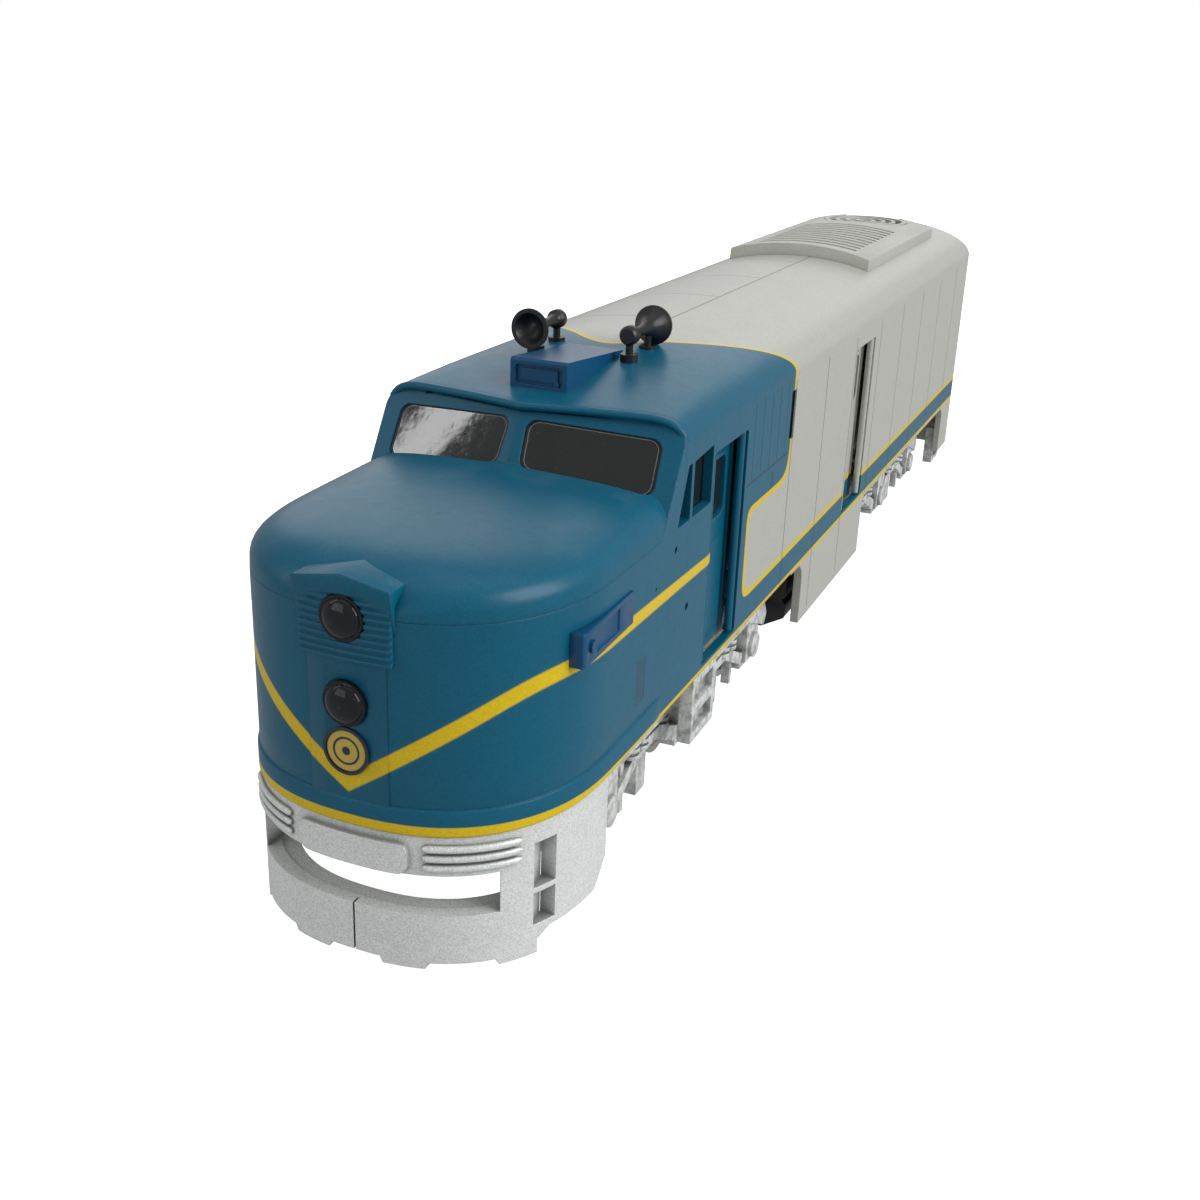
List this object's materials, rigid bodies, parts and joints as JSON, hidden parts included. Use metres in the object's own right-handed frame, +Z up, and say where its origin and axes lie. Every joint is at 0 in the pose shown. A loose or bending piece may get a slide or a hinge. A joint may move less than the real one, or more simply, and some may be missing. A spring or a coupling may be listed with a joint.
{
  "type": "model diesel locomotive",
  "caption": "Scale model diesel passenger locomotive with a long rounded nose, lift-off shell, central motor and swivelling powered trucks on flanged wheels.",
  "frame": {"origin": "centre of the footprint at the bottom of the wheel flanges", "axes": "+Y along the track towards the rear coupler, nose towards -Y, +X towards the locomotive's left side, +Z up"},
  "size_m": [0.0386, 0.2234, 0.0586],
  "materials": {
    "blue_paint": "semi-gloss airbrushed paint over moulded plastic, silver and yellow areas on the same shell",
    "dark_blue_paint": "semi-gloss paint",
    "silver_paint": "metallic silver paint with fine flakes",
    "grey_silver_paint": "satin metallic paint",
    "badge_paint": "printed yellow with a dark rim",
    "black_plastic": "moulded satin black",
    "lens_black": "polished, domed",
    "glazing": "dark polished clear plastic",
    "clear_plastic": "clear moulded plastic",
    "die_cast": "blackened die-cast zinc",
    "steel": "turned nickel-silver and steel",
    "brass": "turned brass",
    "white_acetal": "moulded acetal",
    "board_green": "solder mask over glass-fibre board"
  },
  "bodies": {
    "body": {"body_shell": "blue_paint", "pilot": "silver_paint", "nose_door_panel": "blue_paint", "nose_badge": "badge_paint", "upper_headlight_lens": "lens_black", "lower_headlight_lens": "lens_black", "windshield_glazing": "glazing", "side_window_glazing": "glazing", "left_number_board": "dark_blue_paint", "right_number_board": "dark_blue_paint", "class_lamp_lenses": "dark_blue_paint", "roof_wedge_housing": "dark_blue_paint", "left_horn": "black_plastic", "right_horn": "black_plastic", "cab_handrails": "blue_paint", "engine_door_handrails": "grey_silver_paint", "cab_ladders": "silver_paint", "radiator_fan_grille": "grey_silver_paint", "roof_hatch": "grey_silver_paint", "rear_diaphragm": "black_plastic", "rear_steps": "silver_paint", "chassis_frame": "die_cast", "fuel_tank": "black_plastic", "motor_case": "steel", "circuit_board": "board_green", "light_pipe": "clear_plastic", "coupler_box": "black_plastic", "body_screws": "steel"},
    "motor_rotor": {"motor_shaft": "steel", "front_flywheel": "brass", "rear_flywheel": "brass", "front_drive_shaft": "black_plastic", "rear_drive_shaft": "black_plastic"},
    "rear_coupler": {"rear_coupler": "black_plastic"},
    "front_truck": {"front_gearbox": "black_plastic", "front_side_frames": "silver_paint", "front_gear_pins": "steel"},
    "front_worm": {"front_worm": "black_plastic"},
    "front_worm_gear": {"front_worm_gear": "white_acetal"},
    "front_idler_1": {"front_idler_1": "white_acetal"},
    "front_idler_2": {"front_idler_2": "white_acetal"},
    "front_idler_3": {"front_idler_3": "white_acetal"},
    "front_idler_4": {"front_idler_4": "white_acetal"},
    "front_wheelset_1": {"front_wheelset_1": "steel"},
    "front_wheelset_2": {"front_wheelset_2": "steel"},
    "front_wheelset_3": {"front_wheelset_3": "steel"},
    "rear_truck": {"rear_gearbox": "black_plastic", "rear_side_frames": "silver_paint", "rear_gear_pins": "steel"},
    "rear_worm": {"rear_worm": "black_plastic"},
    "rear_worm_gear": {"rear_worm_gear": "white_acetal"},
    "rear_idler_1": {"rear_idler_1": "white_acetal"},
    "rear_idler_2": {"rear_idler_2": "white_acetal"},
    "rear_idler_3": {"rear_idler_3": "white_acetal"},
    "rear_idler_4": {"rear_idler_4": "white_acetal"},
    "rear_wheelset_1": {"rear_wheelset_1": "steel"},
    "rear_wheelset_2": {"rear_wheelset_2": "steel"},
    "rear_wheelset_3": {"rear_wheelset_3": "steel"}
  },
  "joints": [
    {"name": "motor_spin", "type": "hinge", "parent": "body", "child": "motor_rotor", "pos_m": [0, 0.00267, 0.023], "axis": [0, 1, 0], "continuous": true},
    {"name": "coupler_swing", "type": "hinge", "parent": "body", "child": "rear_coupler", "pos_m": [0, 0.09667, 0.0104], "axis": [0, 0, 1], "range_deg": [-10, 10], "stiffness_Nm_per_rad": 0.0002},
    {"name": "front_truck_swivel", "type": "hinge", "parent": "body", "child": "front_truck", "pos_m": [0, -0.05233, 0.0225], "axis": [0, 0, 1], "range_deg": [-7, 7]},
    {"name": "front_worm_spin", "type": "hinge", "parent": "front_truck", "child": "front_worm", "pos_m": [0, -0.05233, 0.023], "axis": [0, 1, 0], "continuous": true},
    {"name": "front_worm_gear_spin", "type": "hinge", "parent": "front_truck", "child": "front_worm_gear", "pos_m": [0, -0.05233, 0.0171], "axis": [1, 0, 0], "continuous": true},
    {"name": "front_idler_1_spin", "type": "hinge", "parent": "front_truck", "child": "front_idler_1", "pos_m": [0, -0.07059, 0.01055], "axis": [1, 0, 0], "continuous": true},
    {"name": "front_idler_2_spin", "type": "hinge", "parent": "front_truck", "child": "front_idler_2", "pos_m": [0, -0.06024, 0.01231], "axis": [1, 0, 0], "continuous": true},
    {"name": "front_idler_3_spin", "type": "hinge", "parent": "front_truck", "child": "front_idler_3", "pos_m": [0, -0.04441, 0.01231], "axis": [1, 0, 0], "continuous": true},
    {"name": "front_idler_4_spin", "type": "hinge", "parent": "front_truck", "child": "front_idler_4", "pos_m": [0, -0.03406, 0.01055], "axis": [1, 0, 0], "continuous": true},
    {"name": "front_wheelset_1_spin", "type": "hinge", "parent": "front_truck", "child": "front_wheelset_1", "pos_m": [0, -0.07942, 0.00643], "axis": [1, 0, 0], "continuous": true},
    {"name": "front_wheelset_2_spin", "type": "hinge", "parent": "front_truck", "child": "front_wheelset_2", "pos_m": [0, -0.05233, 0.00643], "axis": [1, 0, 0], "continuous": true},
    {"name": "front_wheelset_3_spin", "type": "hinge", "parent": "front_truck", "child": "front_wheelset_3", "pos_m": [0, -0.02523, 0.00643], "axis": [1, 0, 0], "continuous": true},
    {"name": "rear_truck_swivel", "type": "hinge", "parent": "body", "child": "rear_truck", "pos_m": [0, 0.05767, 0.0225], "axis": [0, 0, 1], "range_deg": [-7, 7]},
    {"name": "rear_worm_spin", "type": "hinge", "parent": "rear_truck", "child": "rear_worm", "pos_m": [0, 0.05767, 0.023], "axis": [0, 1, 0], "continuous": true},
    {"name": "rear_worm_gear_spin", "type": "hinge", "parent": "rear_truck", "child": "rear_worm_gear", "pos_m": [0, 0.05767, 0.0171], "axis": [1, 0, 0], "continuous": true},
    {"name": "rear_idler_1_spin", "type": "hinge", "parent": "rear_truck", "child": "rear_idler_1", "pos_m": [0, 0.03941, 0.01055], "axis": [1, 0, 0], "continuous": true},
    {"name": "rear_idler_2_spin", "type": "hinge", "parent": "rear_truck", "child": "rear_idler_2", "pos_m": [0, 0.04976, 0.01231], "axis": [1, 0, 0], "continuous": true},
    {"name": "rear_idler_3_spin", "type": "hinge", "parent": "rear_truck", "child": "rear_idler_3", "pos_m": [0, 0.06559, 0.01231], "axis": [1, 0, 0], "continuous": true},
    {"name": "rear_idler_4_spin", "type": "hinge", "parent": "rear_truck", "child": "rear_idler_4", "pos_m": [0, 0.07594, 0.01055], "axis": [1, 0, 0], "continuous": true},
    {"name": "rear_wheelset_1_spin", "type": "hinge", "parent": "rear_truck", "child": "rear_wheelset_1", "pos_m": [0, 0.03058, 0.00643], "axis": [1, 0, 0], "continuous": true},
    {"name": "rear_wheelset_2_spin", "type": "hinge", "parent": "rear_truck", "child": "rear_wheelset_2", "pos_m": [0, 0.05767, 0.00643], "axis": [1, 0, 0], "continuous": true},
    {"name": "rear_wheelset_3_spin", "type": "hinge", "parent": "rear_truck", "child": "rear_wheelset_3", "pos_m": [0, 0.08478, 0.00643], "axis": [1, 0, 0], "continuous": true}
  ],
  "couplings": [
    {"joint": "front_worm_spin", "follows": "motor_spin", "ratio": 1},
    {"joint": "front_worm_gear_spin", "follows": "motor_spin", "ratio": 0.0625},
    {"joint": "front_idler_1_spin", "follows": "motor_spin", "ratio": 0.047619},
    {"joint": "front_idler_2_spin", "follows": "motor_spin", "ratio": -0.047619},
    {"joint": "front_idler_3_spin", "follows": "motor_spin", "ratio": -0.047619},
    {"joint": "front_idler_4_spin", "follows": "motor_spin", "ratio": 0.047619},
    {"joint": "front_wheelset_1_spin", "follows": "motor_spin", "ratio": -0.055556},
    {"joint": "front_wheelset_3_spin", "follows": "motor_spin", "ratio": -0.055556},
    {"joint": "rear_worm_spin", "follows": "motor_spin", "ratio": 1},
    {"joint": "rear_worm_gear_spin", "follows": "motor_spin", "ratio": 0.0625},
    {"joint": "rear_idler_1_spin", "follows": "motor_spin", "ratio": 0.047619},
    {"joint": "rear_idler_2_spin", "follows": "motor_spin", "ratio": -0.047619},
    {"joint": "rear_idler_3_spin", "follows": "motor_spin", "ratio": -0.047619},
    {"joint": "rear_idler_4_spin", "follows": "motor_spin", "ratio": 0.047619},
    {"joint": "rear_wheelset_1_spin", "follows": "motor_spin", "ratio": -0.055556},
    {"joint": "rear_wheelset_3_spin", "follows": "motor_spin", "ratio": -0.055556}
  ]
}
